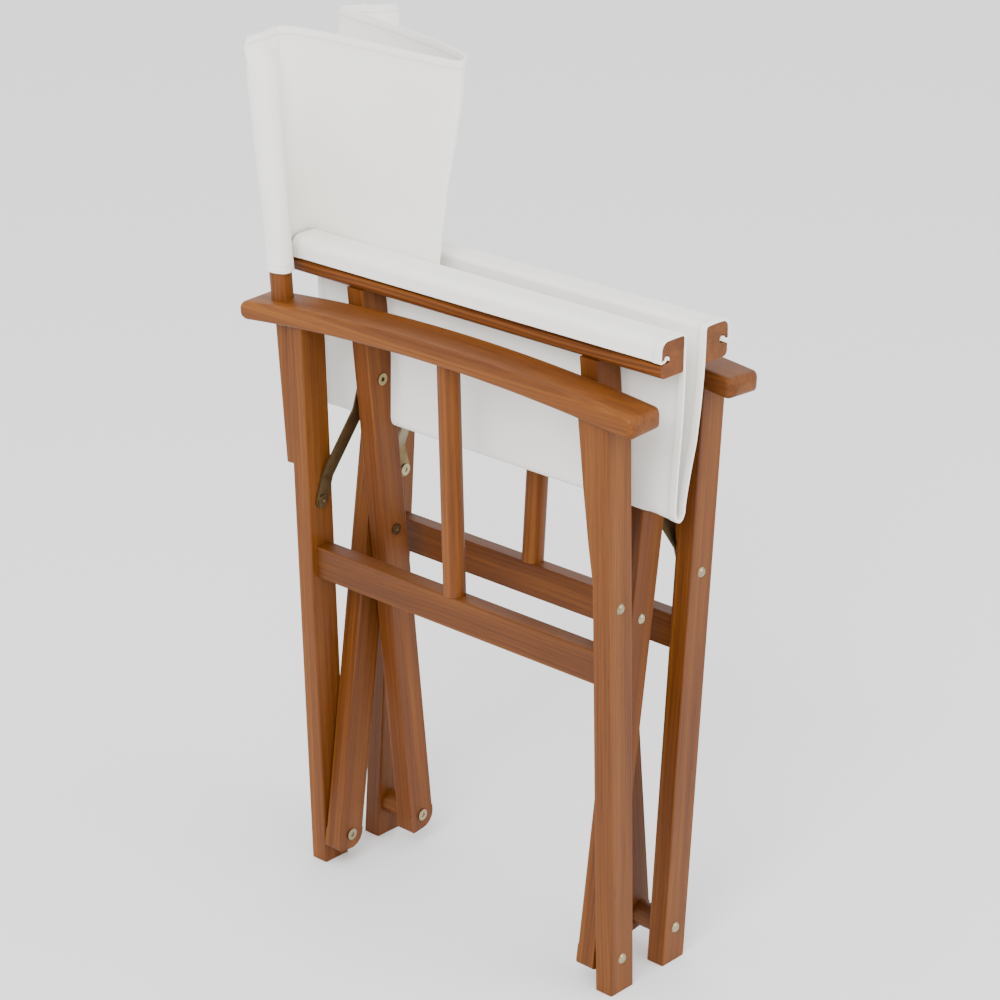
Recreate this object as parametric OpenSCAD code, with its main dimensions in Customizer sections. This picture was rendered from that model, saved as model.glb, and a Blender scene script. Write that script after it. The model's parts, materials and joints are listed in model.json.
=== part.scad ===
// Folding director's chair: two wooden side frames joined by two crossed leg pairs, with a canvas seat
// and a canvas back. Modelled folded, standing on its four feet. X is the width, -Y the front, +Z up.

/* [Folding] */
// Lean of each side frame away from the middle, in degrees
splay = 2.86; // [2:0.02:3.4]
// Lean of each crossed leg when the chair is folded, in degrees
rest_lean = 6.9; // [6.6:0.1:7.2]
// How far the crossed legs swing from folded to open, in degrees
open_swing = 35; // [30:1:36]
// From a foot pivot to the centre pivot, along a crossed leg
arm_low = 328; // [320:1:336]
// From the centre pivot to a link's pivot on a crossed leg
arm_link = 160; // [150:1:170]

/* [Side frames] */
// Width of a leg, across the chair
leg_w = 32; // [28:1:36]
// Thickness of a leg, front to back
leg_t = 19.5; // [18:0.5:22]
// Outside distance from the front leg's front to the rear leg's back
leg_span = 393.5; // [380:0.5:410]
// Thickness of the front leg where it meets the armrest
front_leg_top_t = 35; // [28:1:38]
// Height of a foot pivot along the leg
foot_pivot = 34; // [30:1:38]
// Height of the stretcher's top
stretcher_top = 348; // [330:1:360]
// Height of the stretcher
stretcher_h = 33; // [28:1:38]
// Width of the stretcher, across the chair
stretcher_w = 18; // [15:1:22]
// Diameter of the round spindle
spindle_d = 21.5; // [18:0.5:25]
// Distance of the spindle's axis behind the legs' middle
spindle_y = 4; // [-10:1:20]

/* [Armrests] */
// Height of the armrest's underside at its highest
arm_under = 583.5; // [575:0.5:595]
// Thickness of the armrest
arm_t = 19; // [17:1:24]
// Width of the armrest
arm_w = 42; // [38:1:50]
// Length of the armrest
arm_len = 482; // [460:1:500]
// Radius of the armrest's arch in side view
arch_r = 2030; // [1500:10:3000]

/* [Back] */
// Diameter of the round part of the back post
post_d = 21.5; // [19:0.5:24]
// Height of the back post's lower end
post_low = 429; // [420:1:440]
// Height of the back post's top
post_top = 820; // [800:1:830]
// Height at which the back canvas's pocket closes flat above the post
sleeve_close = 838; // [834:1:842]
// Lean of the back post, in degrees
post_lean = 2.6; // [1:0.1:4]
// Height of the back canvas
back_h = 232; // [220:1:236]
// Thickness of the canvas as a solid
canvas_t = 0.8; // [0.6:0.1:1.6]

/* [Seat] */
// Width of a seat rail
rail_w = 31; // [28:1:34]
// Height of a seat rail
rail_h = 33.5; // [30:0.5:38]
// Length of a seat rail
rail_len = 448; // [430:1:460]
// Depth of the seat canvas, front to back
seat_d = 444; // [420:1:448]
// Width of the seat canvas between the rails
seat_w = 353; // [350:1:356]

/* [Crossed legs] */
// Width of a crossed leg
cross_w = 32; // [28:1:34]
// Thickness of a crossed leg, front to back
cross_t = 20; // [18:0.5:21]

/* [Hidden] */
$fn = 48;
play = 0.06;         // radial play of a bolt in its hole
slack = 0.3;         // space between faces that slide past each other
leg_gap = 1.8;       // space between a frame leg and crossed leg A
layer_gap = 3;       // space between crossed legs A and B, where the links lie
link_t = 2;
link_w = 15;
link_flat = 26;      // flat end of a link, from its lower hole to the bend
near_rise = 70;      // sloping middle of a near link
far_rise = 40;       // and of a far link, which passes a crossed leg
bolt_r = 3;
head_r = 5.2;
head_h = 2.6;
nut_r = 5.9;
flange_t = 1.2;
barrel_r = 4;
barrel_l = 11;
ease = 1.6;          // eased long edges
wood = [0.62, 0.36, 0.19];
dark_wood = [0.52, 0.29, 0.16];
canvas = [0.94, 0.93, 0.91];
brass = [0.78, 0.71, 0.55];
bronze = [0.36, 0.28, 0.17];

// Where the legs' middle lies front to back, so that the chair's box is centred on the origin
y_mid = -11.75;
arm_y = 11.75;       // the armrest's middle, behind the legs' middle

// Layers of wood, measured inwards from a frame leg's inner face
layer_a = leg_gap;
layer_b = leg_gap + cross_t + layer_gap;
link_layer = layer_a + cross_t + (layer_gap - link_t) / 2;

// Pivots in the folded chair
sole = leg_w / 2 * sin(splay);                 // the leg's middle stands this high on its outer edge
foot_x = arm_low * sin(rest_lean);
foot_z = foot_pivot * cos(splay) + sole;
centre_z = foot_z + arm_low * cos(rest_lean);
frame_x = foot_x - foot_pivot * sin(splay);    // a leg's middle at its sole
open_lean = rest_lean + open_swing;
// Height of a link's lower pivot along the leg, at which the link is as long open as folded
fold_k = pow(cos(rest_lean), 2) - pow(cos(open_lean), 2);
link_h = 2 * arm_low * arm_link * fold_k
    / ((arm_low + arm_link) * cos(splay) * (cos(rest_lean) - cos(open_lean))
       + (arm_low - arm_link) * sin(splay) * (sin(open_lean) - sin(rest_lean)));
link_u = foot_pivot + link_h;
mid_x = arm_link * sin(rest_lean);
mid_z = centre_z + arm_link * cos(rest_lean);
low_x = foot_x + link_h * sin(splay);
low_z = foot_z + link_h * cos(splay);
link_len = norm([low_x - mid_x, mid_z - low_z]);
link_tilt = atan2(low_x - mid_x, mid_z - low_z);

// Seat rails, upright when folded
rail_bottom = centre_z + 252.3;
rail_top = rail_bottom + rail_h;
rail_x = (rail_bottom - centre_z) * tan(rest_lean);   // a rail's middle
rail_in = rail_x - rail_w / 2;                        // its inner face
rail_y = 0.75;
rod_in = 7.5;        // hem rod, in from the rail's outer face
rod_up = 17;         // and up from its bottom
rod_r = 2.4;
groove_r = 3.9;
seat_crease_z = rail_top - sqrt(pow(seat_w / 2, 2) - pow(rail_in, 2));

// Back canvas, folded: the lines at which it turns, each as its upper and its lower end
near_turn = [[-58.8, 216, 846], [-8, 216, 618]];
tip = [[-16.4, 21, 836.3], [-12.2, 50.1, 602.5]];
tuck = [[34.5, 236.9, 846.4], [13.2, 244.6, 617.9]];
far_seam = [[58.8, 216, 846], [52, 216, 618]];
seam_y = 216;
back_low = 618;
panel_low = rail_top + 3;
panel_high = 844;

// ---- placing -------------------------------------------------------------------------------------

// A side frame's own plane: x across the leg, y front to back, z up along the leg
module near_frame() {
    translate([-frame_x, y_mid, sole]) rotate([0, -splay, 0]) children();
}

module far_frame() {
    mirror([1, 0, 0]) near_frame() children();
}

// A crossed leg's own plane, with its centre pivot at the origin; A leans to the far side
module cross_a() {
    translate([0, y_mid, centre_z]) rotate([0, rest_lean, 0]) children();
}

module cross_b() {
    translate([0, y_mid, centre_z]) rotate([0, -rest_lean, 0]) children();
}

// Layers: z counts inwards from the legs' inner faces, at the rear (side 1) or the front (side -1)
module layer(side, depth) {
    translate([0, side * (leg_span / 2 - leg_t - depth), 0]) rotate([side * 90, 0, 0]) children();
}

// ---- shapes --------------------------------------------------------------------------------------

function arc(cx, cy, r, from, to, n = 6) =
    [for (i = [0:n]) [cx + r * cos(from + (to - from) * i / n), cy + r * sin(from + (to - from) * i / n)]];

// A rectangle from its lower left corner, with the four corner radii from the lower left, anticlockwise
function eased_box(w, h, r) = concat(
    arc(r[0], r[0], r[0], 180, 270), arc(w - r[1], r[1], r[1], 270, 360),
    arc(w - r[2], h - r[2], r[2], 0, 90), arc(r[3], h - r[3], r[3], 90, 180));

// A bar along Z with eased long edges, centred on X and Y
module bar(w, t, h, e = ease) {
    translate([-w / 2, -t / 2, 0]) linear_extrude(height = h) polygon(eased_box(w, t, [e, e, e, e]));
}

module hole(r, from, to) {
    translate([0, 0, from]) cylinder(r = r, h = to - from);
}

// A domed bolt head that stands on z = 0
module dome(r, h) {
    ball = (r * r + h * h) / (2 * h);
    rotate_extrude() polygon(concat([[0, 0]], [for (i = [0:6]) let(a = asin(r / ball) * (1 - i / 6))
        [ball * sin(a), ball * cos(a) - ball + h]]));
}

// A flanged barrel nut with its flange on z = 0, its barrel below and a socket for a key
module barrel_nut() {
    difference() {
        union() {
            cylinder(r = nut_r, h = flange_t);
            translate([0, 0, -barrel_l]) cylinder(r = barrel_r, h = barrel_l + 0.1);
        }
        hole(bolt_r, -barrel_l - 1, -3);
        hole(2.3, -2, flange_t + 1);
    }
}

// A bolt from z = 0, with its head below, and its nut with the flange on z = grip
module bolt_and_nut(grip) {
    rotate([180, 0, 0]) dome(head_r, head_h);
    cylinder(r = bolt_r, h = grip + 0.3);
    translate([0, 0, grip]) difference() {
        cylinder(r = nut_r, h = flange_t);
        hole(2.3, 0.3, flange_t + 1);
    }
}

// ---- side frames ---------------------------------------------------------------------------------

function under(y) = arm_under - pow(y - 9.75, 2) / (2 * arch_r);

// The arch under the armrest, from front to back
function arch_points(lift = 0, n = 16) =
    let(front = arm_y - arm_len / 2 + arm_t / 2, back = arm_y + arm_len / 2 - arm_t / 2)
    [for (i = [1:n - 1]) let(y = front + (back - front) * i / n) [y, under(y) + lift]];

function reversed(a) = [for (i = [len(a) - 1:-1:0]) a[i]];

// Everything above the underside of the armrest
module above_arch() {
    translate([-40, 0, 0]) rotate([90, 0, 90]) linear_extrude(height = 80)
        polygon(concat([[arm_y - 235, under(arm_y - 235)]], arch_points(-0.03),
            [[arm_y + 235, under(arm_y + 235)], [arm_y + 235, 700], [arm_y - 235, 700]]));
}

// The leg's sole is level with the floor although the leg leans
module floor_cut() {
    translate([0, 0, -sole]) rotate([0, splay, 0]) translate([-40, -40, -30]) cube([80, 80, 30]);
}

module leg_holes() {
    for (u = [foot_pivot, link_u])
        translate([0, 0, u]) rotate([90, 0, 0]) translate([0, 0, -60]) cylinder(r = bolt_r + play, h = 120);
}

module rear_leg() {
    y = leg_span / 2 - leg_t / 2;
    color(wood) difference() {
        translate([0, y, -6]) bar(leg_w, leg_t, under(y) + 10);
        above_arch();
        translate([0, y, 0]) floor_cut();
        translate([0, y, 0]) leg_holes();
    }
}

module front_leg() {
    y = -leg_span / 2;
    top = arm_under + 4;
    color(wood) difference() {
        union() {
            translate([0, y + leg_t / 2, -6]) bar(leg_w, leg_t, top + 6);
            translate([-leg_w / 2, 0, 0]) rotate([90, 0, 90]) linear_extrude(height = leg_w)
                polygon([[y + leg_t - 3, link_u + 28], [y + leg_t, link_u + 30],
                    [y + leg_t + 4, link_u + 62], [y + leg_t + 9, link_u + 112],
                    [y + front_leg_top_t, top], [y + leg_t - 3, top]]);
        }
        above_arch();
        translate([0, y + leg_t / 2, 0]) floor_cut();
        translate([0, y + leg_t / 2, 0]) leg_holes();
    }
}

module stretcher() {
    inner = leg_span - 2 * leg_t;
    color(wood) translate([0, inner / 2, stretcher_top - stretcher_h / 2]) rotate([90, 0, 0])
        difference() {
            bar(stretcher_w, stretcher_h, inner);
            translate([0, stretcher_h / 2 - 12, inner / 2 - spindle_y]) rotate([-90, 0, 0])
                cylinder(r = 7, h = 14);
        }
}

module spindle() {
    color(wood) translate([0, spindle_y, 0]) {
        translate([0, 0, stretcher_top]) cylinder(d = spindle_d, h = under(spindle_y) - stretcher_top - 0.15);
        translate([0, 0, stretcher_top - 11]) cylinder(r = 6.9, h = 12);
    }
}

// Side view of the armrest: arched, with a round nose at the back and a softer one in front
function arm_side() = let(back = arm_y + arm_len / 2 - arm_t / 2, front = arm_y - arm_len / 2 + arm_t / 2) concat(
    arch_points(),
    arc(back, under(back) + arm_t / 2, arm_t / 2, -88, 88, 8),
    reversed(arch_points(arm_t)),
    arc(front, under(front) + arm_t / 2, arm_t / 2, 92, 268, 8));

module armrest() {
    offset_in = -2;
    color(wood) translate([offset_in, 0, 0]) difference() {
        intersection() {
            translate([-arm_w / 2, 0, 0]) rotate([90, 0, 90]) linear_extrude(height = arm_w)
                polygon(arm_side());
            // Well rounded in plan at the front and eased at the back
            translate([0, 0, 400]) linear_extrude(height = 300)
                translate([-arm_w / 2, arm_y - arm_len / 2]) polygon(eased_box(arm_w, arm_len, [9, 9, 2, 2]));
        }
        translate([-offset_in, 0, 0]) post_line() translate([0, 0, -120]) cylinder(d = post_d + 3, h = 240);
    }
}

// ---- back posts ----------------------------------------------------------------------------------

post_y = 216.7;      // the post's axis where it passes the armrest, behind the legs' middle
post_heel = 2.2;     // the flat lower part's back face, behind the post's axis

module post_line() {
    translate([0, post_y, 598]) rotate([-post_lean, 0, 0]) children();
}

// How far the post's flat lower part reaches behind the leg at a height
function post_back(u) = post_y + (u - 598) * tan(post_lean) + post_heel / cos(post_lean) - leg_span / 2;

module back_post() {
    leg_back = leg_span / 2;
    color(wood) difference() {
        union() {
            post_line() translate([0, 0, -27.5]) cylinder(d = post_d, h = post_top - 570.5);
            difference() {
                post_line() translate([0, post_heel - 8, post_low - 598]) bar(21, 16, 585 - post_low, 2);
                translate([-20, leg_back - 40, 380]) cube([40, 40, 220]);
                above_arch();
            }
        }
        for (u = [455, 530])
            translate([0, leg_back + 10, u]) rotate([90, 0, 0]) translate([0, 0, -30])
                cylinder(r = 2.5 + play, h = 60);
        translate([-20, leg_back - 40, 380]) cube([40, 40, 196]);
    }
}

module post_screws() {
    leg_back = leg_span / 2;
    color(brass) for (u = [455, 530])
        translate([0, leg_back, u]) rotate([-90, 0, 0]) {
            cylinder(r = 2.5, h = post_back(u) + 0.4);
            translate([0, 0, post_back(u) + 0.3]) dome(5, 2);
        }
}

// The sewn pocket of the back canvas that slips over a post: flat at the top, round at the bottom
module back_sleeve() {
    color(canvas) difference() {
        sleeve_body();
        post_line() translate([0, 0, -100]) cylinder(d = post_d + 1.2, h = post_top - 498);
    }
}

module sleeve_body() {
    post_line() translate([0, 0, back_low - 598]) {
        cylinder(d = post_d + 4, h = sleeve_close - back_low + 3);
        translate([-21, -3, sleeve_close - back_low + 0.5]) cube([41.5, 6, 6]);
    }
    translate([0, seam_y - y_mid, back_low]) linear_extrude(height = back_h - 6)
        polygon([[6, -8], [13, -1.4], [14, 0.6], [0, 4.5]]);
}

// ---- crossed legs and rails ----------------------------------------------------------------------

// One crossed leg in its own plane, drawn from its foot to its rail
module cross_leg(rail_end) {
    difference() {
        translate([0, 0, -arm_low]) {
            difference() {
                bar(cross_w, cross_t, arm_low + rail_end + 11);
                translate([0, 0, rail_end + arm_low]) children();
            }
            rotate([90, 0, 0]) translate([-cross_w / 2, -cross_w / 2, -cross_t / 2])
                linear_extrude(height = cross_t)
                    polygon(eased_box(cross_w, cross_w / 2 + 4, [4, cross_w / 2 - 0.5, 0.2, 0.2]));
        }
        for (u = [-arm_low, 0, arm_link])
            translate([0, 0, u]) rotate([90, 0, 0]) translate([0, 0, -30])
                cylinder(r = (u == arm_link ? barrel_r : bolt_r) + play, h = 60);
    }
}

// The leg is cut level under its rail, with a tenon in the rail
module level_top(lean) {
    rotate([0, -lean, 0]) difference() {
        translate([-60, -30, -0.02]) cube([120, 60, 60]);
        translate([-8, -5, -2]) cube([16, 10, 20]);
    }
}

module crossed(side, lean, depth) {
    reach = (rail_bottom - centre_z) / cos(lean);
    translate([0, side * (leg_span / 2 - leg_t - depth - cross_t / 2), 0])
        cross_leg(reach) level_top(lean);
}

module rail_profile() {
    difference() {
        polygon(eased_box(rail_w, rail_h, [5, 2, 3, 8]));
        translate([rod_in, rod_up]) circle(r = groove_r);
        translate([rod_in, rod_up]) rotate(205) translate([0, -1.9]) square([16, 3.8]);
    }
}

// A rail with its outer side on the left, along Y
module rail_place() {
    translate([-rail_x - rail_w / 2, y_mid + rail_y + rail_len / 2, rail_bottom]) rotate([90, 0, 0]) children();
}

module seat_rail(depth) {
    color(dark_wood) difference() {
        rail_place() linear_extrude(height = rail_len) rail_profile();
        for (side = [-1, 1])
            translate([-rail_x, y_mid + side * (leg_span / 2 - leg_t - depth - cross_t / 2), rail_bottom]) {
                translate([-8.1, -5.1, -1]) cube([16.2, 10.2, 13.3]);
                translate([3.2, 0, 8]) cylinder(r = 1.6 + play, h = 40);
                translate([3.2, 0, rail_h - 3]) cylinder(r = 3.5 + play, h = 5);
            }
    }
}

module rail_screws(depth) {
    color(brass) for (side = [-1, 1])
        translate([-rail_x + 3.2, y_mid + side * (leg_span / 2 - leg_t - depth - cross_t / 2),
            rail_bottom + 13]) {
            cylinder(r = 1.6, h = rail_h - 16);
            translate([0, 0, rail_h - 16]) cylinder(r = 3.5, h = 2.2);
        }
}

module hem_rod() {
    color(canvas) rail_place() translate([rod_in, rod_up, (rail_len - seat_d) / 2])
        cylinder(r = rod_r + canvas_t, h = seat_d);
}

// Canvas from the groove up the outer side and over the top to the inner edge
module seat_wrap() {
    g = 0.15;
    inner = concat([[-g, 13.5], [-g, rail_h - 8]], arc(8, rail_h - 8, 8 + g, 180, 90),
        [[rail_w - 2, rail_h + g]]);
    c = canvas_t;
    outer = concat([[rail_w - 2, rail_h + g + c]], arc(8, rail_h - 8, 8 + g + c, 90, 180),
        [[-g - c, 13.5]]);
    color(canvas) rail_place() translate([0, 0, (rail_len - seat_d) / 2])
        linear_extrude(height = seat_d) polygon(concat(inner, outer));
}

// ---- bolts, washers and links --------------------------------------------------------------------

module on_leg(u) {
    for (side = [-1, 1])
        translate([0, 0, u]) layer(side, -leg_t) children();
}

module link_bolts() {
    color(brass) on_leg(link_u) bolt_and_nut(leg_t + link_t + 2 * slack);
}

module near_foot_bolts() {
    color(brass) near_frame() on_leg(foot_pivot) bolt_and_nut(leg_t + layer_a + cross_t + slack);
}

module far_foot_bolts() {
    color(brass) far_frame() on_leg(foot_pivot) bolt_and_nut(leg_t + layer_b + cross_t + slack);
}

module far_foot_spacers() {
    color(wood) far_frame() for (side = [-1, 1])
        translate([0, 0, foot_pivot]) layer(side, 0) difference() {
            cylinder(r = 12, h = layer_b - slack);
            hole(bolt_r + play, -1, layer_b + 1);
        }
}

module near_foot_washers() {
    color(brass) near_frame() for (side = [-1, 1])
        translate([0, 0, foot_pivot]) layer(side, slack) difference() {
            cylinder(r = 8, h = layer_a - slack);
            hole(bolt_r + play, -1, layer_a + 1);
        }
}

module centre_bolts() {
    color(brass) cross_a() for (side = [-1, 1])
        layer(side, layer_a) bolt_and_nut(2 * cross_t + layer_gap + slack);
}

module centre_washers() {
    color(brass) cross_a() for (side = [-1, 1])
        layer(side, layer_a + cross_t) difference() {
            cylinder(r = 8, h = layer_gap - slack);
            hole(bolt_r + play, -1, layer_gap + 1);
        }
}

// Side view of a cranked strip, from its lower pivot at 0 to its upper pivot at link_len
function crank_side(rise) = let(a = link_flat, b = link_flat + rise, d = link_layer - slack) [
    [-link_w / 2, 0], [a, 0], [b, d], [link_len + link_w / 2, d],
    [link_len + link_w / 2, d + link_t], [b - 1, d + link_t], [a - 1, link_t], [-link_w / 2, link_t]];

// A link in its own plane: x along the strip, z towards the chair's middle
module link_strip(rise) {
    color(bronze) difference() {
        intersection() {
            translate([0, link_w / 2, 0]) rotate([90, 0, 0]) linear_extrude(height = link_w)
                polygon(crank_side(rise));
            union() {
                cylinder(d = link_w, h = 60, center = true);
                translate([0, -link_w / 2, -30]) cube([link_len, link_w, 60]);
                translate([link_len, 0, 0]) cylinder(d = link_w, h = 60, center = true);
            }
        }
        hole(bolt_r + play, -5, 10);
        translate([link_len, 0, 0]) hole(bolt_r + play, link_layer - 5, link_layer + 5);
    }
}

// A near link's place: its lower pivot on the near frame, its upper one on crossed leg B
module near_link(side) {
    translate([-low_x, y_mid, low_z]) rotate([0, link_tilt - 90, 0])
        translate([0, side * (leg_span / 2 - leg_t - slack), 0]) rotate([side * 90, 0, 0]) children();
}

module far_link(side) {
    mirror([1, 0, 0]) near_link(side) children();
}

// The upper stud of a near link: its head faces outwards, and it stops short of leg B
module stud_out() {
    color(brass) translate([link_len, 0, link_layer - slack]) {
        cylinder(r = bolt_r, h = link_t);
        rotate([180, 0, 0]) dome(4.6, 1.8);
    }
}

// The upper stud of a far link: its head faces inwards, and it stops short of leg A
module stud_in() {
    color(brass) translate([link_len, 0, link_layer - slack]) {
        cylinder(r = bolt_r, h = link_t);
        translate([0, 0, link_t]) dome(4.6, 1.8);
    }
}

module near_link_nuts() {
    color(brass) cross_b() for (side = [-1, 1])
        translate([0, 0, arm_link]) layer(side, layer_b + cross_t) barrel_nut();
}

module far_link_nuts() {
    color(brass) cross_a() for (side = [-1, 1])
        translate([0, 0, arm_link]) layer(side, layer_a) rotate([180, 0, 0]) barrel_nut();
}

// ---- canvas --------------------------------------------------------------------------------------

// Half of the folded seat, hanging from the near rail to the crease; cut away over the crossed legs
module seat_panel() {
    drop = seat_w / 2;
    tilt = asin(rail_in / drop);
    color(canvas) translate([-rail_in, y_mid + rail_y, rail_top]) rotate([0, -tilt, 0])
        translate([0, 0, -drop + 11]) rotate([90, 0, 90]) linear_extrude(height = canvas_t)
            difference() {
                translate([-seat_d / 2, 0]) square([seat_d, drop - 14]);
                for (side = [-1, 1])
                    translate([side * 154 - rail_y - 28, -1]) square([56, 74]);
            }
}

// The point of a turning line at a height
function on_line(line, z) = line[1] + (line[0] - line[1]) * (z - line[1][2]) / (line[0][2] - line[1][2]);

// A plate of canvas between two turning lines
module plate(from, to, low, high) {
    a = on_line(from, low);
    b = on_line(to, low);
    c = on_line(to, high);
    d = on_line(from, high);
    inset = 5;
    low_way = (b - a) / norm(b - a) * inset;
    high_way = (c - d) / norm(c - d) * inset;
    side = cross(b - a, d - a);
    t = side / norm(side) * canvas_t;
    color(canvas) polyhedron(
        points = [a + low_way, b - low_way, c - high_way, d + high_way,
            a + low_way - t, b - low_way - t, c - high_way - t, d + high_way - t],
        faces = [[0, 2, 1], [0, 3, 2], [4, 5, 6], [4, 6, 7], [0, 1, 5], [0, 5, 4], [1, 2, 6], [1, 6, 5],
            [2, 3, 7], [2, 7, 6], [3, 0, 4], [3, 4, 7]]);
}

// ---- the chair -----------------------------------------------------------------------------------

near_frame() rear_leg();  // near_rear_leg
near_frame() front_leg();  // near_front_leg
near_frame() armrest();  // near_armrest
near_frame() stretcher();  // near_stretcher
near_frame() spindle();  // near_spindle
near_frame() back_post();  // near_back_post
near_frame() back_sleeve();  // near_back_sleeve
near_frame() link_bolts();  // near_link_bolts
near_foot_bolts();
near_frame() post_screws();  // near_post_screws
far_frame() rear_leg();  // far_rear_leg
far_frame() front_leg();  // far_front_leg
far_frame() armrest();  // far_armrest
far_frame() stretcher();  // far_stretcher
far_frame() spindle();  // far_spindle
far_frame() back_post();  // far_back_post
far_frame() back_sleeve();  // far_back_sleeve
far_frame() link_bolts();  // far_link_bolts
far_foot_bolts();
far_foot_spacers();
far_frame() post_screws();  // far_post_screws
color(wood) cross_a() crossed(1, rest_lean, layer_a);  // cross_a_rear
color(wood) cross_a() crossed(-1, rest_lean, layer_a);  // cross_a_front
mirror([1, 0, 0]) seat_rail(layer_a);  // far_seat_rail
mirror([1, 0, 0]) hem_rod();  // far_hem_rod
mirror([1, 0, 0]) seat_wrap();  // far_seat_wrap
centre_bolts();
centre_washers();
near_foot_washers();
far_link_nuts();
mirror([1, 0, 0]) rail_screws(layer_a);  // far_rail_screws
color(wood) cross_b() crossed(1, -rest_lean, layer_b);  // cross_b_rear
color(wood) cross_b() crossed(-1, -rest_lean, layer_b);  // cross_b_front
seat_rail(layer_b);  // near_seat_rail
hem_rod();  // near_hem_rod
seat_wrap();  // near_seat_wrap
near_link_nuts();
rail_screws(layer_b);  // near_rail_screws
near_link(1) link_strip(near_rise);  // near_link_rear
near_link(-1) link_strip(near_rise);  // near_link_front
for (side = [-1, 1]) near_link(side) stud_out();  // near_link_studs
far_link(1) link_strip(far_rise);  // far_link_rear
far_link(-1) link_strip(far_rise);  // far_link_front
for (side = [-1, 1]) far_link(side) stud_in();  // far_link_studs
seat_panel();  // near_seat_panel
mirror([1, 0, 0]) seat_panel();  // far_seat_panel
plate(tip, near_turn, panel_low, panel_high - 6);  // near_back_panel
plate(tuck, tip, panel_low, panel_high - 6);  // far_back_panel
plate(tuck, far_seam, panel_low, panel_high);  // far_back_flap
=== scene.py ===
import json
import math

import bmesh
import bpy
from mathutils import Matrix, Vector, noise


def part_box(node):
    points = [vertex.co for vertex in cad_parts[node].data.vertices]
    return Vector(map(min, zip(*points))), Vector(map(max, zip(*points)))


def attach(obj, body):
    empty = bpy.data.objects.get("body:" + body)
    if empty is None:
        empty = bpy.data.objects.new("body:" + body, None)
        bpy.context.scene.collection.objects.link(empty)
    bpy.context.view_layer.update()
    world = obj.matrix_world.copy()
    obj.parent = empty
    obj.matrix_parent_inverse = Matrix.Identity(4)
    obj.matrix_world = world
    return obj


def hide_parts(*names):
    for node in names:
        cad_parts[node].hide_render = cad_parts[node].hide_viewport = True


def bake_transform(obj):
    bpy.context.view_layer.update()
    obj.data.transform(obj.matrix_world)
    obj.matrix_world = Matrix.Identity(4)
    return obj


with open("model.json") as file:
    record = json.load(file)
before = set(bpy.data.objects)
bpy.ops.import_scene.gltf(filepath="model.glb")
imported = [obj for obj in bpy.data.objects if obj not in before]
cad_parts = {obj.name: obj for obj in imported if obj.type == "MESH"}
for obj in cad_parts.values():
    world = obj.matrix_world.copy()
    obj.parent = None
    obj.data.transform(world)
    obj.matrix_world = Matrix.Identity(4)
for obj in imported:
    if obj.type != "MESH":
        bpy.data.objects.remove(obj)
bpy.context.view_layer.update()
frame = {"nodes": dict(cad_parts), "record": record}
joints = {j["name"]: j for j in frame["record"]["behaviour"]["joints"]}
MM = 0.001
SPLAY = math.radians(2.86)        # lean of each side frame away from the middle
LEG_LEAN = math.radians(6.9)      # lean of the crossed legs when folded
POST_LEAN = math.radians(2.6)     # lean of the back posts to the rear


def pos(name):
    return Vector(joints[name]["pos_m"])


def mix(a, b, t):
    return a + (b - a) * t


def smooth(t):
    """A soft step from 0 to 1 as t goes from 0 to 1."""
    t = min(1.0, max(0.0, t))
    return t * t * (3 - 2 * t)


def put(name, mesh):
    o = bpy.data.objects.new(name, mesh)
    bpy.context.scene.collection.objects.link(o)
    return o


def shade_smooth(mesh, sharp_degrees):
    mesh.polygons.foreach_set("use_smooth", [True] * len(mesh.polygons))
    mesh.set_sharp_from_angle(angle=math.radians(sharp_degrees))


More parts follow.
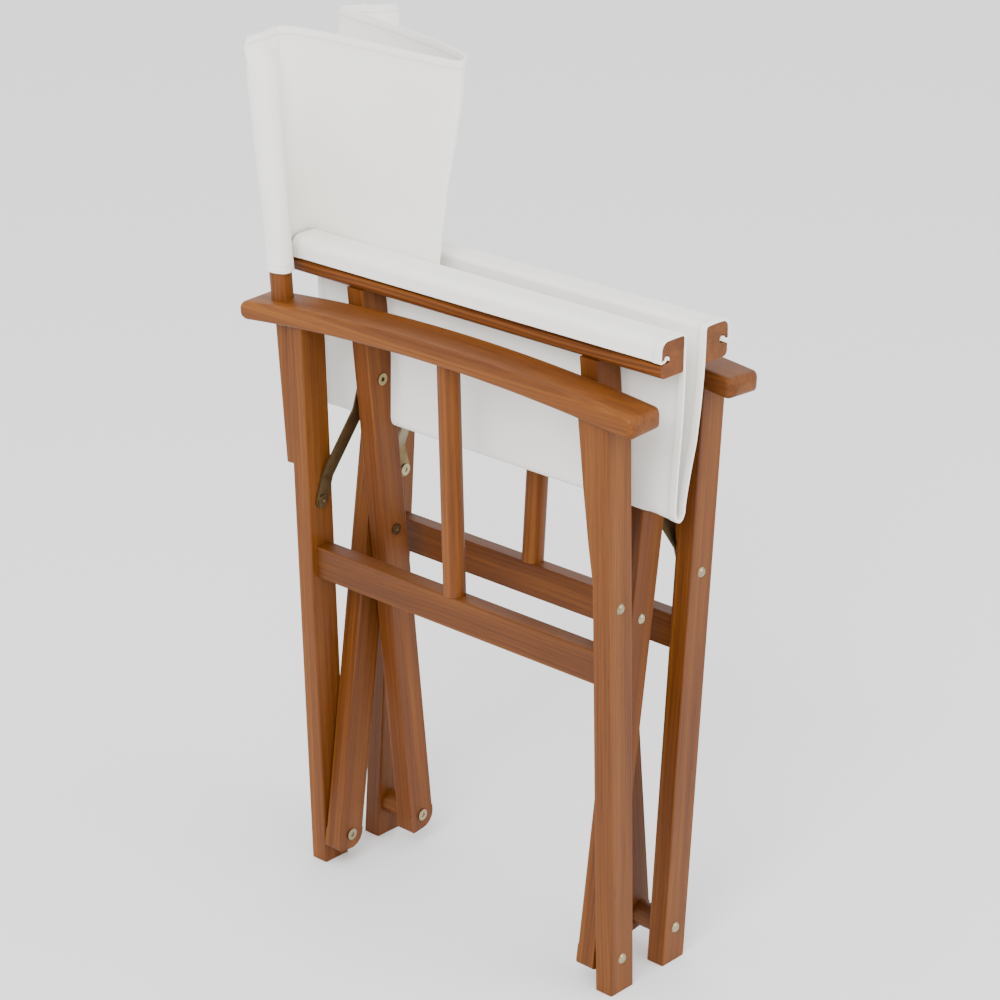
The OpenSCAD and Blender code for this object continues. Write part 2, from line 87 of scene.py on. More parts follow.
# ---------------------------------------------------------------- materials
class Graph:
    """A new material's node tree, with short calls for the nodes used here."""

    def __init__(self, name):
        self.material = bpy.data.materials.new(name)
        self.material.use_nodes = True
        self.tree = self.material.node_tree
        self.tree.nodes.clear()
        out = self.new("ShaderNodeOutputMaterial")
        self.bsdf = self.new("ShaderNodeBsdfPrincipled")
        self.link(self.bsdf.outputs[0], out.inputs[0])

    def new(self, kind):
        return self.tree.nodes.new(kind)

    def link(self, source, target):
        self.tree.links.new(source, target)

    def set(self, **values):
        """Fixed values on the shader; an underscore stands for a space."""
        for key, value in values.items():
            self.bsdf.inputs[key.replace("_", " ")].default_value = value

    def object_coords(self):
        return self.new("ShaderNodeTexCoord").outputs["Object"]

    def split(self, vector):
        n = self.new("ShaderNodeSeparateXYZ")
        self.link(vector, n.inputs[0])
        return n.outputs

    def mapped(self, vector, **values):
        n = self.new("ShaderNodeMapping")
        for key, value in values.items():
            n.inputs[key].default_value = value
        self.link(vector, n.inputs["Vector"])
        return n.outputs[0]

    def noise(self, vector, stretch, detail, rough, distortion=0.0, shift=(0, 0, 0)):
        n = self.new("ShaderNodeTexNoise")
        n.inputs["Scale"].default_value = 1.0
        n.inputs["Detail"].default_value = detail
        n.inputs["Roughness"].default_value = rough
        n.inputs["Distortion"].default_value = distortion
        self.link(self.mapped(vector, Scale=stretch, Location=shift), n.inputs["Vector"])
        return n.outputs["Fac"]

    def math(self, op, a, b=None, clamp=False):
        n = self.new("ShaderNodeMath")
        n.operation = op
        n.use_clamp = clamp
        for socket, x in zip(n.inputs, (a, b)):
            if isinstance(x, (int, float)):
                socket.default_value = x
            elif x is not None:
                self.link(x, socket)
        return n.outputs[0]

    def add(self, a, b, clamp=False):
        return self.math("ADD", a, b, clamp)

    def sub(self, a, b):
        return self.math("SUBTRACT", a, b)

    def mul(self, a, b):
        return self.math("MULTIPLY", a, b)

    def wave(self, distance, pitch):
        return self.math("SINE", self.mul(distance, 2 * math.pi / pitch))

    def near(self, distance, centre, half):
        """1 within a band round a distance, otherwise 0."""
        return self.math("LESS_THAN", self.math("ABSOLUTE", self.sub(distance, centre)), half)

    def ramp(self, fac, stops):
        n = self.new("ShaderNodeValToRGB")
        elements = n.color_ramp.elements
        while len(elements) < len(stops):
            elements.new(0.5)
        for element, (place, colour) in zip(elements, stops):
            element.position = place
            element.color = (*colour, 1)
        self.link(fac, n.inputs[0])
        return n.outputs[0]

    def colour_times(self, colour, factor):
        """The shader's colour, darkened by another one. Gives the node, to set B on."""
        n = self.new("ShaderNodeMix")
        n.data_type = "RGBA"
        n.blend_type = "MULTIPLY"
        self.link(colour, n.inputs["A"])
        if isinstance(factor, float):
            n.inputs["Factor"].default_value = factor
        else:
            self.link(factor, n.inputs["Factor"])
        self.link(n.outputs["Result"], self.bsdf.inputs["Base Color"])
        return n

    def bump(self, height, strength, distance):
        n = self.new("ShaderNodeBump")
        n.inputs["Strength"].default_value = strength
        n.inputs["Distance"].default_value = distance
        self.link(height, n.inputs["Height"])
        self.link(n.outputs[0], self.bsdf.inputs["Normal"])


WOOD_DARK = (0.058, 0.0140, 0.0025)
WOOD_MID = (0.130, 0.0395, 0.0055)
WOOD_LIGHT = (0.230, 0.080, 0.0125)
RING_PITCH = 0.0027               # metres between the growth lines


def wood(name, grain, seed, tone, red, ring):
    """Stained wood whose grain runs along a direction of the row frame.
    ring is the growth lines' share in its figure; tone scales its colour, partly the piece's own
    tone and partly painted shade and light."""
    g = Graph(name)
    turn = Vector(grain).normalized().rotation_difference(Vector((0, 0, 1))).to_euler()
    v = g.mapped(g.object_coords(), Rotation=turn)
    shift = (seed * 0.37, seed * 0.61, seed * 0.83)
    bands = g.noise(v, (62, 62, 1.6), 3.0, 0.5, 0.35, shift)
    streaks = g.noise(v, (260, 260, 5.0), 4.0, 0.6, 0.2, shift)
    pores = g.noise(v, (1500, 1500, 34), 2.0, 0.6, 0.0, shift)
    blotch = g.noise(v, (14, 14, 3.5), 2.0, 0.5, 0.0, shift)
    # growth lines cross the section at an angle and wander with the blotches
    x, y, _ = g.split(v)
    across = g.add(g.mul(x, 0.82), g.mul(y, 0.57))
    across = g.add(across, g.mul(blotch, 0.010))
    rings = g.add(g.mul(g.wave(across, RING_PITCH), 0.5), 0.5)
    figure = g.mul(bands, 0.47)
    figure = g.add(figure, g.mul(streaks, 0.30))
    figure = g.add(figure, g.mul(blotch, 0.18))
    figure = g.add(figure, g.mul(rings, ring))
    figure = g.add(g.mul(g.sub(figure, 0.5), 1.9), 0.5, clamp=True)

    def toned_and_shaded(c):
        return c[0] * tone, c[1] * tone * (1 - 0.12 * red), c[2] * tone * (1 - 0.18 * red)

    # the tone factor scales these stops: partly the piece's own tone, partly painted shade and
    # light
    stain_and_shade = [(0.12, toned_and_shaded(WOOD_DARK)), (0.50, toned_and_shaded(WOOD_MID)), (0.92, toned_and_shaded(WOOD_LIGHT))]
    dark = g.colour_times(g.ramp(figure, stain_and_shade), 0.75)
    g.link(g.ramp(pores, [(0.30, (0.62, 0.58, 0.55)), (0.44, (1, 1, 1))]), dark.inputs["B"])
    g.link(g.add(g.mul(streaks, 0.22), 0.36), g.bsdf.inputs["Roughness"])
    g.set(Specular_IOR_Level=0.20)
    g.bump(g.add(streaks, g.mul(pores, 0.5)), 0.18, 0.0004)
    return g.material


STITCH_LINE = 0.0072              # a row of stitches, from the cloth's edge
STITCHES_PER_METRE = 330.0
WEAVE_PITCH = 0.0011


def canvas_material():
    """Off-white plain weave with a stitched line along each hem.
    The UV map named flat holds the cloth laid flat: metres along it, and from its nearer hem."""
    g = Graph("canvas_cloth")
    uv = g.new("ShaderNodeUVMap")
    uv.uv_map = "flat"
    along, edge, _ = g.split(uv.outputs[0])
    line = g.near(edge, STITCH_LINE, 0.00045)
    dash = g.math("LESS_THAN", g.math("FRACT", g.mul(along, STITCHES_PER_METRE)), 0.68)
    stitch = g.mul(line, dash)
    groove = g.near(edge, STITCH_LINE, 0.0011)
    v = g.object_coords()
    cloud = g.noise(v, (9, 9, 9), 3.0, 0.5)
    colour = g.ramp(cloud, [(0.30, (0.855, 0.838, 0.785)), (0.70, (0.895, 0.880, 0.838))])
    # the band round each stitch line is darkened: painted shade in the sewn groove
    dark = g.colour_times(colour, g.mul(groove, 0.55))
    dark.inputs["B"].default_value = (0.84, 0.82, 0.78, 1)
    g.set(Roughness=0.88, Specular_IOR_Level=0.2, Sheen_Weight=0.15)
    weave = g.mul(g.wave(along, WEAVE_PITCH), g.wave(edge, WEAVE_PITCH))
    soft = g.noise(v, (26, 26, 26), 3.0, 0.5)
    height = g.add(g.mul(weave, 0.06), soft)
    height = g.add(height, g.mul(stitch, 0.5))
    height = g.sub(height, g.mul(groove, 0.25))
    g.bump(height, 0.35, 0.0012)
    return g.material


def metal(name, colour, rough):
    """Metal with fine scratches in its gloss and a duller tone in places."""
    g = Graph(name)
    v = g.object_coords()
    scratch = 0.08
    fine = g.noise(v, (900, 900, 900), 3.0, 0.6)
    patches = g.noise(v, (60, 60, 60), 3.0, 0.6)
    dull = tuple(c * 0.62 for c in colour)
    g.link(g.ramp(patches, [(0.30, dull), (0.62, colour)]), g.bsdf.inputs["Base Color"])
    g.set(Metallic=1.0)
    g.link(g.add(g.mul(fine, scratch * 2), rough - scratch), g.bsdf.inputs["Roughness"])
    return g.material


CANVAS = canvas_material()
BRASS = metal("pale_brass", (0.40, 0.33, 0.17), 0.30)
NICKEL = metal("nickelled_brass", (0.36, 0.31, 0.19), 0.22)
BRONZE = metal("bronzed_strip", (0.20, 0.145, 0.070), 0.42)

UP_NEAR = (-math.sin(SPLAY), 0, math.cos(SPLAY))
UP_FAR = (math.sin(SPLAY), 0, math.cos(SPLAY))
UP_A = (math.sin(LEG_LEAN), 0, math.cos(LEG_LEAN))
UP_B = (-math.sin(LEG_LEAN), 0, math.cos(LEG_LEAN))
ALONG = (0, 1, 0)
# grain direction, tone and redness of each wooden node; the tone is partly the piece's own and
# partly painted shade and light: darker on the far frame, the stretchers and the seat rails,
# lighter on the near armrest and spindle
WOODS = {
    "near_rear_leg": (UP_NEAR, 1.00, 0.1), "near_front_leg": (UP_NEAR, 1.02, 0.0),
    "near_armrest": (ALONG, 1.08, 0.1), "near_stretcher": (ALONG, 0.80, 0.3),
    "near_spindle": (UP_NEAR, 1.12, 0.2), "near_back_post": (UP_NEAR, 0.98, 0.3),
    "far_rear_leg": (UP_FAR, 0.92, 0.2), "far_front_leg": (UP_FAR, 0.95, 0.2),
    "far_armrest": (ALONG, 0.92, 0.2), "far_stretcher": (ALONG, 0.85, 0.4),
    "far_spindle": (UP_FAR, 0.98, 0.2), "far_back_post": (UP_FAR, 0.95, 0.2),
    "far_foot_spacers": (ALONG, 0.85, 0.3),
    "cross_a_rear": (UP_A, 0.95, 0.2), "cross_a_front": (UP_A, 0.90, 0.3),
    "cross_b_rear": (UP_B, 0.98, 0.5), "cross_b_front": (UP_B, 0.88, 0.5),
    "near_seat_rail": (ALONG, 0.80, 0.9), "far_seat_rail": (ALONG, 0.76, 0.6),
}
RAIL_RINGS, OTHER_RINGS = 0.20, 0.05
CLOTH_WORDS = ("sleeve", "wrap", "rod", "panel", "flap")


def material_of(name, seed):
    if name in WOODS:
        grain, tone, red = WOODS[name]
        rings = RAIL_RINGS if name.endswith("seat_rail") else OTHER_RINGS
        return wood("wood_" + name, grain, seed, tone, red, rings)
    if any(word in name for word in CLOTH_WORDS):
        return CANVAS
    if name.endswith(("link_rear", "link_front")):
        return BRONZE
    return NICKEL if name.endswith("_bolts") else BRASS


for i, (name, o) in enumerate(sorted(frame["nodes"].items())):
    mat = material_of(name, i + 1)
    o.data.materials.clear()
    o.data.materials.append(mat)


# ---------------------------------------------------------------- cloth
CLOTH_T, HEM_T = 0.0010, 0.0021   # thickness of the canvas, and of its folded hem
FRAY = 0.0012                     # first step in from a cloth's edge


def hemmed(rows):
    """Thickness of each row of a cloth with a hem along its first and its last rows."""
    last = len(rows) - 1
    return lambda i: HEM_T if i <= 2 or i >= last - 2 else CLOTH_T


def cloth(name, rows, thick, closed=False, span=None):
    """A cloth from a grid of points: rows run along the cloth, one for each level across its width.
    thick(i) is a row's thickness. span takes some of the columns, shaded as part of the whole."""
    n, m = len(rows), len(rows[0])
    pts = [[Vector(p) for p in r] for r in rows]

    def normal(i, j):
        a = pts[min(i + 1, n - 1)][j] - pts[max(i - 1, 0)][j]
        if closed:
            b = pts[i][(j + 1) % m] - pts[i][(j - 1) % m]
        else:
            b = pts[i][min(j + 1, m - 1)] - pts[i][max(j - 1, 0)]
        c = a.cross(b)
        return c.normalized() if c.length > 1e-12 else Vector((0, 0, 1))

    across = [[0.0] * m for _ in range(n)]
    along = [[0.0] * m for _ in range(n)]
    for i in range(n):
        for j in range(m):
            if i:
                across[i][j] = across[i - 1][j] + (pts[i][j] - pts[i - 1][j]).length
            if j:
                along[i][j] = along[i][j - 1] + (pts[i][j] - pts[i][j - 1]).length
    first, end = span or (0, m - 1)
    flat = [[(along[i][j], min(across[i][j], across[n - 1][j] - across[i][j]))
             for j in range(first, end + 1)] for i in range(n)]
    verts = [pts[i][j] + normal(i, j) * (side * thick(i) / 2)
             for side in (1, -1) for i in range(n) for j in range(first, end + 1)]
    m = end + 1 - first

    def top(i, j):
        return i * m + (j % m)

    def bot(i, j):
        return n * m + top(i, j)

    faces = []
    steps = m if closed else m - 1
    for i in range(n - 1):
        for j in range(steps):
            faces.append((top(i, j), top(i + 1, j), top(i + 1, j + 1), top(i, j + 1)))
            faces.append((bot(i, j), bot(i, j + 1), bot(i + 1, j + 1), bot(i + 1, j)))
    for j in range(steps):
        faces.append((top(0, j), top(0, j + 1), bot(0, j + 1), bot(0, j)))
        faces.append((top(n - 1, j), bot(n - 1, j), bot(n - 1, j + 1), top(n - 1, j + 1)))
    if not closed:
        e = m - 1
        for i in range(n - 1):
            faces.append((top(i, 0), bot(i, 0), bot(i + 1, 0), top(i + 1, 0)))
            faces.append((top(i, e), top(i + 1, e), bot(i + 1, e), bot(i, e)))
    me = bpy.data.meshes.new(name)
    me.from_pydata(verts, [], faces)
    me.update()
    uv = me.uv_layers.new(name="flat")
    for loop in me.loops:
        i, j = divmod(loop.vertex_index % (n * m), m)
        uv.data[loop.index].uv = flat[i][j]
    me.materials.append(CANVAS)
    shade_smooth(me, 50)
    me.validate()
    return put(name, me)


def resample(path, step):
    """Points at even steps along a polyline of vectors, ends kept."""
    length = [0.0]
    for a, b in zip(path, path[1:]):
        length.append(length[-1] + (b - a).length)
    count = max(2, int(round(length[-1] / step)) + 1)
    out, k = [], 0
    for i in range(count):
        s = length[-1] * i / (count - 1)
        while k < len(path) - 2 and length[k + 1] < s:
            k += 1
        t = (s - length[k]) / max(1e-9, length[k + 1] - length[k])
        out.append(path[k].lerp(path[k + 1], min(1, max(0, t))))
    return out


def rounded(path, times):
    """Softens a polyline's corners, ends kept."""
    for _ in range(times):
        inside = [(a + b * 2 + c) / 4 for a, b, c in zip(path, path[1:], path[2:])]
        path = [path[0]] + inside + [path[-1]]
    return path


def path_length(path):
    return sum((b - a).length for a, b in zip(path, path[1:]))


def spaced(path, count):
    return resample(path, path_length(path) / count)


# ---- the seat: one canvas from groove to groove, hung in a U between the rails
crease = pos("seat_crease")
rail_lo, rail_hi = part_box("near_seat_rail")
rod_lo, rod_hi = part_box("near_hem_rod")
seat_front = rail_lo.y - 0.0008
seat_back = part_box("near_seat_wrap")[1].y
OFF_WOOD = 0.0011                 # from the rail's face to the middle of the cloth's thickness
FOLD_MID, FOLD_HALF = 0.0, 0.0066     # middle and half width of the seat's fold, in x


def point(x, z):
    return Vector((x, 0, z))


def arc(cx, cz, r, a0, a1, n):
    turns = [math.radians(a0 + (a1 - a0) * i / n) for i in range(n + 1)]
    return [point(cx + r * math.cos(a), cz + r * math.sin(a)) for a in turns]


def near_section():
    """Section of the cloth seen from the front: from round the rod in the groove, up the outer
    side and over the rail to its inner edge."""
    out, inn, top = rail_lo.x, rail_hi.x, rail_hi.z
    rod_x, rod_z = (rod_lo.x + rod_hi.x) / 2, (rod_lo.z + rod_hi.z) / 2
    g = OFF_WOOD
    return (
        arc(rod_x, rod_z, 0.0019, -30, 205, 12)
        + [point(out - 0.0002, rod_z - 0.0016), point(out - 0.0009, rod_z - 0.0022)]
        + [point(out - g - 0.0006, rod_z - 0.0010), point(out - g, rod_z + 0.0025)]
        + [point(out - g, top - 0.009)]
        + arc(out + 0.008, top - 0.008, 0.008 + g, 175, 90, 8)
        + [point(out + 0.016, top + g + 0.0003), point(inn - 0.010, top + g + 0.0002)]
        + arc(inn - 0.003, top - 0.003, 0.003 + g, 88, 0, 6))


def hanging_section():
    """Down the near rail's inner side, round the fold and up to the far rail's inner side."""
    inn, top = rail_hi.x + OFF_WOOD, rail_hi.z - 0.0035
    low, mid, w = crease.z - 0.0022, FOLD_MID, FOLD_HALF
    r = 0.0105                    # the fold's height below its straight sides
    down = [point(inn, top), point(inn + 0.0002, top - 0.026), point(inn + 0.0010, top - 0.050),
            point(mid - w - 0.0022, low + 0.062), point(mid - w - 0.0004, low + 0.030),
            point(mid - w, low + 0.014)]
    turns = [math.pi * i / 14 for i in range(15)]
    turn = [point(mid - w * math.cos(a), low + r - r * math.sin(a)) for a in turns]
    up = [point(mid + w, low + 0.014), point(mid + w + 0.0020, low + 0.032),
          point(mid + w + 0.0062, low + 0.072), point(-inn - 0.0012, top - 0.048),
          point(-inn - 0.0003, top - 0.024), point(-inn, top)]
    return down + turn + up


# The crossed legs stand in the cloth's way near the fold, and it is pushed aside round them.
# Each leg: its box, and the side that it holds the cloth to.
legs = [(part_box("cross_%s_%s" % (k, w)), 1 if k == "b" else -1)
        for k in "ab" for w in ("rear", "front")]
centre = pos("cross_pivot")
LEG_SLOPE, LEG_HALF = math.tan(LEG_LEAN), 0.0161
LEG_GAP, LEG_FADE = 0.0012, 0.010     # clear space beside a leg, and how soon the push fades in y


def pushed(p):
    """A point of the hanging cloth, moved clear of the crossed legs beside it."""
    x = p.x
    for (lo, hi), way in legs:
        middle, half_t = (lo.y + hi.y) / 2, (hi.y - lo.y) / 2
        w = 1 - smooth((abs(p.y - middle) - half_t - 0.0005) / LEG_FADE)
        if w <= 0 or p.z > rail_lo.z - 0.002:
            continue
        face = -way * (p.z - centre.z) * LEG_SLOPE + way * (LEG_HALF + LEG_GAP)
        gap = (face - x) * way
        if gap > 0:
            x += way * gap * w
    # each side keeps to its own side of the fold, where it turns when the seat opens
    if p.x < FOLD_MID:
        x = min(x, max(p.x, FOLD_MID - FOLD_HALF))
    else:
        x = max(x, min(p.x, FOLD_MID + FOLD_HALF))
    return Vector((x, p.y, p.z))


SEAT_HEM = 0.009
HANG_X = 0.02                     # the cloth between the rails is nearer the middle than this
PUSH_X = 0.0155                   # and the crossed legs reach this far
FRONT_SKEW, FRONT_DROOP = 0.0100, 0.0022     # the front edge hangs back and droops


def seat_levels():
    """Distances from the front edge at which the seat's cloth is drawn."""
    width = seat_back - seat_front
    inner = 88
    start = SEAT_HEM + 0.0006
    return ([0, FRAY, SEAT_HEM - 0.001, start]
            + [start + (width - 2 * start) * i / inner for i in range(1, inner)]
            + [width - SEAT_HEM - 0.0006, width - SEAT_HEM + 0.001, width - FRAY, width])


def seat_row(path, d):
    """The section at a distance from the front edge."""
    row = []
    for p in path:
        hung = skew = 0
        if abs(p.x) < HANG_X:
            hung = smooth((rail_lo.z - p.z) / 0.10)
            skew = FRONT_SKEW * smooth((rail_lo.z - p.z) / 0.14) * (1 - smooth(d / 0.10))
        droop = FRONT_DROOP * hung * (1 - smooth(d / 0.035))
        q = Vector((p.x, seat_front + d + skew, p.z - droop))
        row.append(pushed(q) if hung > 0 or abs(p.x) < PUSH_X else q)
    return row


step = 0.0025
near_top = resample(near_section(), step * 0.7)
hang_path = resample(hanging_section(), step)
far_top = [point(-p.x, p.z) for p in reversed(near_top)]
path = near_top + hang_path + far_top
# cut low on the near side's hang, and at the far rail's inner edge
low_cut = next(i for i, p in enumerate(hang_path) if p.z < rail_hi.z - 0.085)
cuts = (0, len(near_top) + low_cut, len(near_top) + len(hang_path) - 1, len(path) - 1)
rows = [seat_row(path, d) for d in seat_levels()]
seat_near, seat_mid, seat_far = (
    cloth(name, rows, hemmed(rows), span=span)
    for name, span in zip(("seat_cloth_near", "seat_cloth_middle", "seat_cloth_far"),
                          zip(cuts, cuts[1:])))
near_run, mid_run, far_run = (path_length(path[a:b + 1]) for a, b in zip(cuts, cuts[1:]))
corner = point(rail_hi.x, rail_hi.z)
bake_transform(seat_near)
point(FOLD_MID - FOLD_HALF, crease.z)
point(FOLD_MID + FOLD_HALF, crease.z)
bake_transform(seat_mid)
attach(seat_far, "cross_a")
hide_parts("near_seat_wrap", "near_hem_rod", "near_seat_panel")
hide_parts("far_seat_panel")
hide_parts("far_seat_wrap", "far_hem_rod")


# ---- the back: sleeves on the posts, and the canvas folded between them
def V(x, y, z):
    return Vector((x, y, z)) * MM


# the lines that the cloth turns on, each from its top to its bottom
SEAM = (V(-58.8, 216, 850), V(-52, 216, 618))
TURN = (V(-44, 216.5, 850), V(-8, 216, 618))
TIP = (V(-17, 28, 841), V(-12.2, 55, 604))
TUCK = (V(39, 234, 850), V(13.2, 244.6, 618))
FAR_SEAM = (V(61, 220, 851), V(52, 216, 618))
NEAR_PULLS = (V(-34, 212, 849), V(-34, 140, 845))      # how the top edge leaves the near seam
FAR_PULLS = (V(3, 12, 844), V(17, 90, 848))            # and rounds the fold towards the far post
SEAM_LOW = 0.618                  # height of the seams' lower ends
HEIGHT = 0.232
BACK_HEM = 0.0085 / HEIGHT        # as a share of the height
RIPPLE, RIPPLES_PER_METRE = 0.0012, 11


def bezier(p0, p1, p2, p3, n=40):
    out = []
    for k in range(n + 1):
        t = k / n
        u = 1 - t
        out.append(p0 * (u * u * u) + p1 * (3 * u * u * t)
                   + p2 * (3 * u * t * t) + p3 * (t * t * t))
    return out


counts = ((84, 84, 14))


def back_row(t):
    """One level of the folded back, a share t of the way down, evenly spaced between its turns."""
    seam, turn, tip, tuck, far = (a.lerp(b, t) for a, b in (SEAM, TURN, TIP, TUCK, FAR_SEAM))
    free = 1 - smooth((t - 0.05) / 0.80)       # softly curved at the top, creased at the bottom
    drop = Vector((0, 0, -HEIGHT * t))

    def way(creased, start, pulls, end, count):
        soft = spaced(bezier(start, pulls[0] + drop, pulls[1] + drop, end), count)
        return [a.lerp(b, free) for a, b in zip(spaced(creased, count), soft)]

    near_way = way([seam, turn, tip], seam, NEAR_PULLS, tip, counts[0])
    far_way = way([tip, tuck], tip, FAR_PULLS, tuck, counts[1])
    flap = spaced([tuck, far], counts[2])
    return near_way + far_way[1:] + flap[1:]


def back_levels():
    inner = 30
    start = BACK_HEM + 0.004
    return ([0, 0.005, BACK_HEM - 0.003, start]
            + [start + (1 - 2 * start) * i / inner for i in range(1, inner)]
            + [1 - BACK_HEM - 0.004, 1 - BACK_HEM + 0.003, 0.995, 1])


grid = []
for t in back_levels():
    row = rounded(back_row(t), 8)
    grid.append([p + Vector((RIPPLE * noise.noise(p * RIPPLES_PER_METRE), 0, 0)) for p in row])
reach = int(round(0.030 / 0.21 * counts[0]))     # columns on each side of the tip
cuts = (0, counts[0] - reach, counts[0] + reach, len(grid[0]) - 1)
back = [cloth(name, grid, hemmed(grid), span=(a, b))
        for name, a, b in zip(("back_cloth_near", "back_cloth_tip", "back_cloth_far"),
                              cuts, cuts[1:])]


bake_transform(back[0])
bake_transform(back[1])
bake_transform(back[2])
plates = ("near_back_panel", "far_back_panel", "far_back_flap")
for o, plate, a, b in zip(back, plates, cuts, cuts[1:]):
    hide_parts(plate)
    half_way = grid[len(grid) // 2][a:b + 1]
    path_length(half_way)


SLEEVE_LOW, SLEEVE_TOP = 0.6210, 0.8460
SLEEVE_HEM = 0.0098
POCKET_R = 0.0121                 # the pocket's inside, round the post
SLEEVE_LEFT = -0.0222             # the flattened top's outer end, from the post's axis


def post_axis(z):
    return Vector((-0.0381 - z * math.tan(SPLAY),
                   0.2050 + (z - 0.610) * math.tan(POST_LEAN), z))


def pocket_ring(tail, n):
    """Round the post from the tail at the seam and back to it, n points."""
    base, spread = math.atan2(tail.y, tail.x), math.acos(min(1, POCKET_R / tail.length))
    ring = [tail]
    for k in range(n * 2 + 1):
        a = base + spread + (2 * math.pi - 2 * spread) * k / (n * 2)
        ring.append(Vector((POCKET_R * math.cos(a), POCKET_R * math.sin(a), 0)))
    return spaced(ring + [tail], n)[:-1]


def sleeve_row(z, side, n):
    """One level of the sleeve, drawn for the near post."""
    h, height = z - SLEEVE_LOW, SLEEVE_TOP - SLEEVE_LOW
    c = post_axis(z)
    line = FAR_SEAM if side > 0 else SEAM
    seam = line[1].lerp(line[0], (z - SEAM_LOW) / HEIGHT)
    if side > 0:
        seam.x = -seam.x
    tail = Vector((seam.x - c.x, seam.y - c.y, 0))
    closing = smooth((z - 0.812) / (SLEEVE_TOP - 0.812))
    left = SLEEVE_LEFT + 0.0050 * smooth((z - 0.836) / 0.010)
    row = []
    for k, q in enumerate(pocket_ring(tail, n)):
        u = k / n
        run = u * 2 if u < 0.5 else 2 - u * 2
        lip = 0.0009 * (1 - abs(2 * run - 1) ** 4) * (1 if u < 0.5 else -1)
        flat = Vector((mix(tail.x, left, run), mix(tail.y, 0, run) + lip, 0))
        if q.x < 0:
            q = Vector((q.x * (1 + 0.48 * smooth((z - 0.66) / 0.15)), q.y, 0))
        q = q.lerp(flat, closing)
        fold = 0.0010 * closing * (1 - closing) * 4 * math.sin(run * 9 + side)
        q = q + Vector((0, fold, 0))
        jitter = 0.0006 * noise.noise(Vector((q.x * 60, q.y * 60, z * 14 + side * 3)))
        if k:
            q = q + q.normalized() * jitter
        rise = 0.0040 * smooth((h / height - 0.8) / 0.2) * (q.x - left) / (tail.x - left)
        wavy = 0.0012 * math.sin(q.x * 160 + side) * (1 - smooth(h / 0.02))
        row.append(Vector((c.x + q.x, c.y + q.y, z + rise + wavy)))
    return row


def sleeve(side):
    """The pocket sewn round a post: round with a flat tail to the seam, closed flat at the top."""
    n = 64
    height = SLEEVE_TOP - SLEEVE_LOW
    levels = [0, FRAY, 0.0085, SLEEVE_HEM]
    levels += [SLEEVE_HEM + (height - SLEEVE_HEM) * k / 40 for k in range(1, 41)]
    rows = [sleeve_row(SLEEVE_LOW + h, side, n) for h in levels]
    if side > 0:
        rows = [[Vector((-p.x, p.y, p.z)) for p in reversed(r)] for r in rows]
    name = "far" if side > 0 else "near"
    o = cloth(name + "_sleeve_cloth", rows, lambda i: 0.0020 if i <= 2 else CLOTH_T, closed=True)
    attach(o, name + "_frame")
    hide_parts(name + "_back_sleeve")
    girth = path_length(rows[8] + [rows[8][0]])


sleeve(-1)
sleeve(1)

# ---------------------------------------------------------------- armrests with eased edges
# the CAD armrest: in its frame's own upright plane, with its underside arched in side view
ARM_UNDER, ARM_T, ARM_W, ARM_LEN = 0.5835, 0.019, 0.042, 0.482
ARCH_R, ARCH_Y = 2.030, 0.00975   # the arch's radius and the place of its highest point
ARM_Y, ARM_SHIFT = 0.01175, -0.002
# the frame's own plane in the row frame
Y_MID, FRAME_X, SOLE = -0.01175, 0.037708, 0.000798
# how far the ends are rounded in plan and in side view, and the radius along the edges
PLAN_FRONT, PLAN_BACK, NOSE_FRONT, NOSE_BACK, EDGE = 0.0085, 0.0030, 0.0075, 0.0090, 0.0032


def nose(d, r):
    """How far a rounded end has drawn in at a distance from its end."""
    return r - math.sqrt(max(0, r * r - (r - d) ** 2)) if d < r else 0.0


def armrest_ring(d, side, seg):
    """The section of an armrest at a distance from its front end, as points of the row frame."""
    y = ARM_Y - ARM_LEN / 2 + d
    e = ARM_LEN - d
    w = ARM_W / 2 - nose(d, PLAN_FRONT) - nose(e, PLAN_BACK)
    h = ARM_T / 2 - nose(d, NOSE_FRONT) - nose(e, NOSE_BACK)
    mid_z = ARM_UNDER - (y - ARCH_Y) ** 2 / (2 * ARCH_R) + ARM_T / 2
    r = min(EDGE, h * 0.9, w * 0.9)
    ring = []
    for q, (sx, sz) in enumerate(((1, 1), (-1, 1), (-1, -1), (1, -1))):
        for k in range(seg + 1):
            a = math.pi / 2 * (q + k / seg)
            u = sx * (w - r) + r * math.cos(a) + ARM_SHIFT
            z = mid_z + sz * (h - r) + r * math.sin(a)
            x = -FRAME_X + u * math.cos(SPLAY) - z * math.sin(SPLAY)
            ring.append((-x if side > 0 else x, y + Y_MID,
                         SOLE + u * math.sin(SPLAY) + z * math.cos(SPLAY)))
    return ring


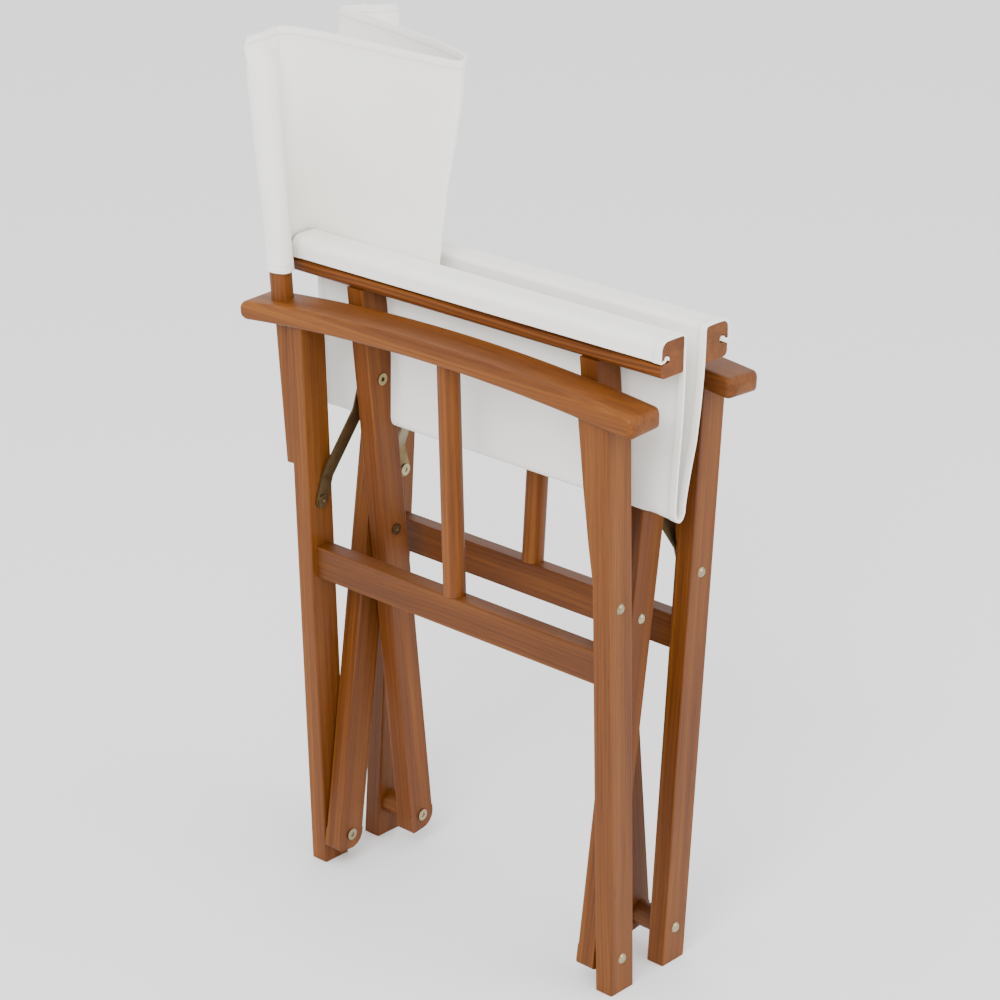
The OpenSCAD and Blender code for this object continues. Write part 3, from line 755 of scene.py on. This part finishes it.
def armrest(side):
    seg = 6
    ends = [PLAN_FRONT * (1 - math.cos(math.pi / 2 * k / 12)) for k in range(1, 13)]
    ds = [0.0] + ends
    ds += [PLAN_FRONT + (ARM_LEN - 2 * PLAN_FRONT) * k / 36 for k in range(1, 36)]
    ds += [ARM_LEN - d for d in reversed(ends)] + [ARM_LEN]
    count = 4 * (seg + 1)
    verts = [p for d in ds for p in armrest_ring(d, side, seg)]
    faces = []
    for i in range(len(ds) - 1):
        a, b = i * count, (i + 1) * count
        for k in range(count):
            nxt = (k + 1) % count
            faces.append((a + k, a + nxt, b + nxt, b + k))
    faces += [tuple(range(count))[::-1], tuple(range((len(ds) - 1) * count, len(ds) * count))]
    if side < 0:
        faces = [f[::-1] for f in faces]
    name = "far" if side > 0 else "near"
    me = bpy.data.meshes.new(name + "_arm")
    me.from_pydata(verts, [], faces)
    me.validate()
    bm = bmesh.new()
    bm.from_mesh(me)
    bmesh.ops.recalc_face_normals(bm, faces=bm.faces)
    bm.to_mesh(me)
    bm.free()
    shade_smooth(me, 40)
    me.materials.append(bpy.data.materials["wood_" + name + "_armrest"])
    o = put(name + "_arm_eased", me)
    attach(o, name + "_frame")
    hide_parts(name + "_armrest")


armrest(-1)
armrest(1)

for name in WOODS:
    shade_smooth(frame["nodes"][name].data, 24)

# ---------------------------------------------------------------- the room, light and camera
FLOOR_HALF, FLOOR_DROP = 6.0, 0.0003
floor_mesh = bpy.data.meshes.new("floor")
floor_corners = [(x * FLOOR_HALF, y * FLOOR_HALF, 0)
                 for x, y in ((-1, -1), (1, -1), (1, 1), (-1, 1))]
floor_mesh.from_pydata(floor_corners, [], [(0, 1, 2, 3)])
floor_graph = Graph("pale_floor")
floor_graph.set(Base_Color=(0.90, 0.90, 0.90, 1), Roughness=0.9)
floor_mesh.materials.append(floor_graph.material)
floor = put("floor", floor_mesh)
floor.location.z = -FLOOR_DROP

world = bpy.data.worlds.new("room")
bpy.context.scene.world = world
world.use_nodes = True
sky = world.node_tree.nodes["Background"]
sky.inputs["Color"].default_value = (1.0, 1.0, 1.0, 1)
sky.inputs["Strength"].default_value = 1.7


def area(name, place, target, size, power):
    data = bpy.data.lights.new(name, "AREA")
    data.energy = power
    data.size = size
    data.color = (1, 1, 1)
    o = put(name, data)
    o.location = place
    o.rotation_euler = (Vector(target) - Vector(place)).to_track_quat("-Z", "Y").to_euler()


area("key", (-2.2, -1.0, 2.4), (0, 0, 0.45), 1.6, 80)
area("fill", (0.6, -2.6, 1.7), (0, 0, 0.4), 2.0, 30)

AZIMUTH, ELEVATION, ROLL = math.radians(-47.45), math.radians(20.58), math.radians(0.49)
TARGET = Vector((0, 0.0224, 0.430))
DISTANCE, ASIDE, RAISED = 2.81416, -0.02116, 0.05304
back_way = Vector((math.sin(AZIMUTH) * math.cos(ELEVATION),
                   -math.cos(AZIMUTH) * math.cos(ELEVATION), math.sin(ELEVATION)))
level_right = (-back_way).cross(Vector((0, 0, 1))).normalized()
level_up = level_right.cross(-back_way)
right = level_right * math.cos(ROLL) + level_up * math.sin(ROLL)
up = level_up * math.cos(ROLL) - level_right * math.sin(ROLL)
cam_data = bpy.data.cameras.new("camera")
cam_data.sensor_width = 36
cam_data.lens = 107.77
cam_data.shift_x = 0.05095
cam_data.shift_y = -0.06845
cam_data.clip_end = 50
cam = put("camera", cam_data)
place = TARGET + back_way * DISTANCE + right * ASIDE + up * RAISED
cam.matrix_world = Matrix((
    (right.x, up.x, back_way.x, place.x), (right.y, up.y, back_way.y, place.y),
    (right.z, up.z, back_way.z, place.z), (0, 0, 0, 1)))
bpy.context.scene.camera = cam
